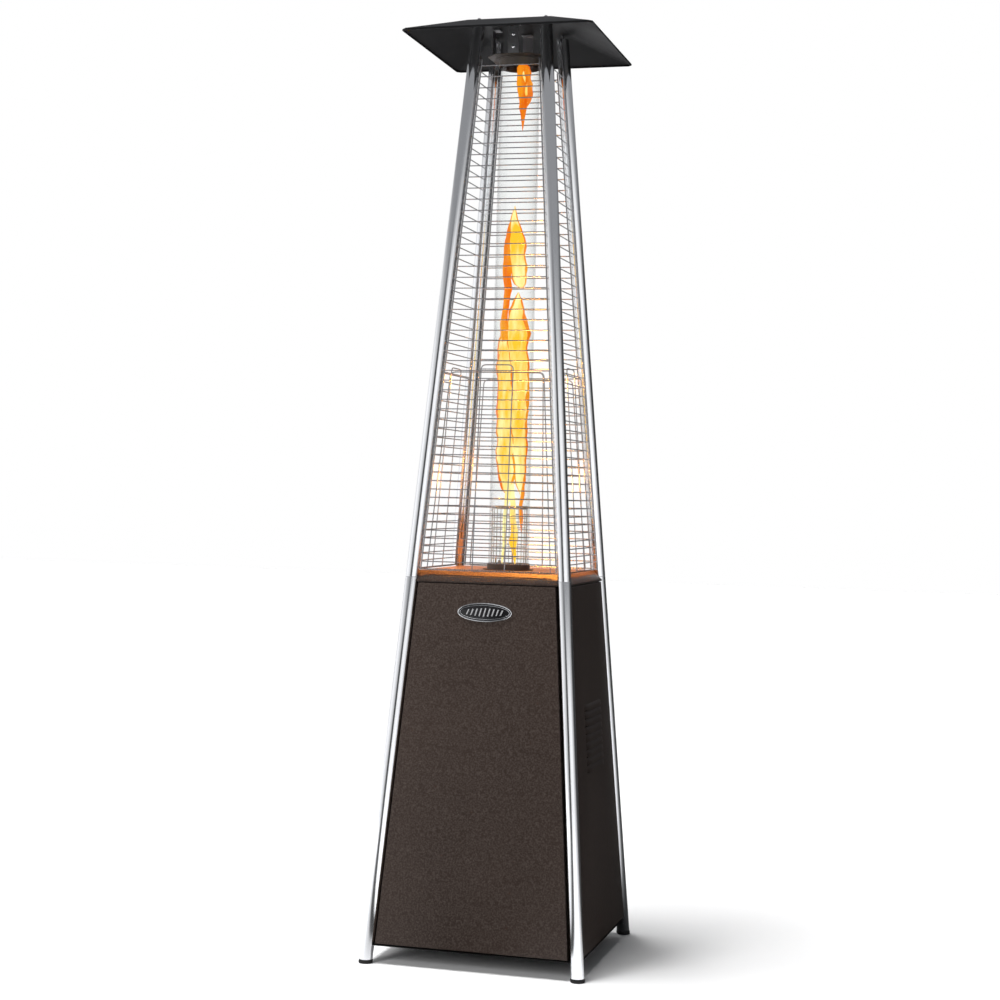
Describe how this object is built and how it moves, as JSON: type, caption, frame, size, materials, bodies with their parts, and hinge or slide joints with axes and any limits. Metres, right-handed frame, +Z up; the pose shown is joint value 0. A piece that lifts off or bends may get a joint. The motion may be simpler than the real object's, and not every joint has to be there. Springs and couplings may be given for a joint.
{
  "type": "outdoor heater",
  "caption": "Pyramid patio heater: four leaning polished posts, a brown tapered cabinet for the gas cylinder, wire guards round a tall glass flame tube, and a black square hood.",
  "frame": {"origin": "on the ground at the middle of the four feet", "axes": "+Z up along the flame tube, -Y to the front panel, +Y to the service door"},
  "size_m": [0.552, 0.552, 2.274],
  "materials": {
    "polished_steel": "polished",
    "bronze_paint": "hammered satin",
    "black_paint": "satin",
    "guard_wire": "plated",
    "plain_steel": "satin",
    "brass": "machined",
    "black_plastic": "moulded",
    "foot_rubber": "matte",
    "ceramic": "matte",
    "gasket": "matte",
    "glass": "clear"
  },
  "bodies": {
    "heater_body": {"lower_post_front_left": "polished_steel", "upper_post_front_left": "polished_steel", "post_connector_front_left": "plain_steel", "foot_cap_front_left": "foot_rubber", "lower_post_front_right": "polished_steel", "upper_post_front_right": "polished_steel", "post_connector_front_right": "plain_steel", "foot_cap_front_right": "foot_rubber", "lower_post_back_right": "polished_steel", "upper_post_back_right": "polished_steel", "post_connector_back_right": "plain_steel", "foot_cap_back_right": "foot_rubber", "lower_post_back_left": "polished_steel", "upper_post_back_left": "polished_steel", "post_connector_back_left": "plain_steel", "foot_cap_back_left": "foot_rubber", "front_panel": "bronze_paint", "emblem": "polished_steel", "right_panel": "bronze_paint", "left_panel": "bronze_paint", "control_panel": "bronze_paint", "hinge_pin_bottom": "plain_steel", "hinge_pin_top": "plain_steel", "gas_valve": "brass", "valve_inlet": "brass", "igniter_module": "black_plastic", "igniter_bezel": "plain_steel", "base_plate": "black_paint", "cylinder_ring": "plain_steel", "tilt_switch": "black_plastic", "deck": "bronze_paint", "burner_tray": "black_paint", "heat_shield": "plain_steel", "burner_head": "plain_steel", "venturi_tube": "plain_steel", "gas_orifice": "brass", "pilot_tube": "plain_steel", "igniter_electrode": "ceramic", "thermocouple": "brass", "glass_gasket": "gasket", "glass_seat_ring": "plain_steel", "glass_tube": "glass", "glass_retainer_ring": "plain_steel", "burner_screen": "plain_steel", "top_plate": "plain_steel", "guard_front": "guard_wire", "guard_hoops_front": "guard_wire", "guard_right": "guard_wire", "guard_hoops_right": "guard_wire", "guard_back": "guard_wire", "guard_hoops_back": "guard_wire", "guard_left": "guard_wire", "guard_hoops_left": "guard_wire", "hood": "black_paint"},
    "rear_door": {"rear_door": "bronze_paint"},
    "door_latch": {"latch_knob": "black_plastic", "latch_cam": "plain_steel"},
    "valve_stem": {"valve_stem": "plain_steel"},
    "control_knob": {"control_knob": "black_plastic"},
    "igniter_button": {"igniter_button": "black_plastic"}
  },
  "joints": [
    {"name": "rear_door_hinge", "type": "hinge", "parent": "heater_body", "child": "rear_door", "pos_m": [-0.20145, 0.23144, 0.39905], "axis": [0.0766, -0.0766, 0.9941], "range_deg": [0, 110]},
    {"name": "door_latch_turn", "type": "hinge", "parent": "rear_door", "child": "door_latch", "pos_m": [0, 0.19965, 0.77233], "axis": [0, 0.997, 0.0769], "range_deg": [0, 90]},
    {"name": "control_knob_push", "type": "slide", "parent": "heater_body", "child": "valve_stem", "axis": [0, -0.997, -0.0769], "range_m": [0, 0.004], "stiffness_N_per_m": 900},
    {"name": "control_knob_turn", "type": "hinge", "parent": "valve_stem", "child": "control_knob", "pos_m": [-0.062, 0.19349, 0.85227], "axis": [0, 0.997, 0.0769], "range_deg": [0, 180]},
    {"name": "igniter_button_push", "type": "slide", "parent": "heater_body", "child": "igniter_button", "axis": [0, -0.997, -0.0769], "range_m": [0, 0.005], "stiffness_N_per_m": 600}
  ]
}
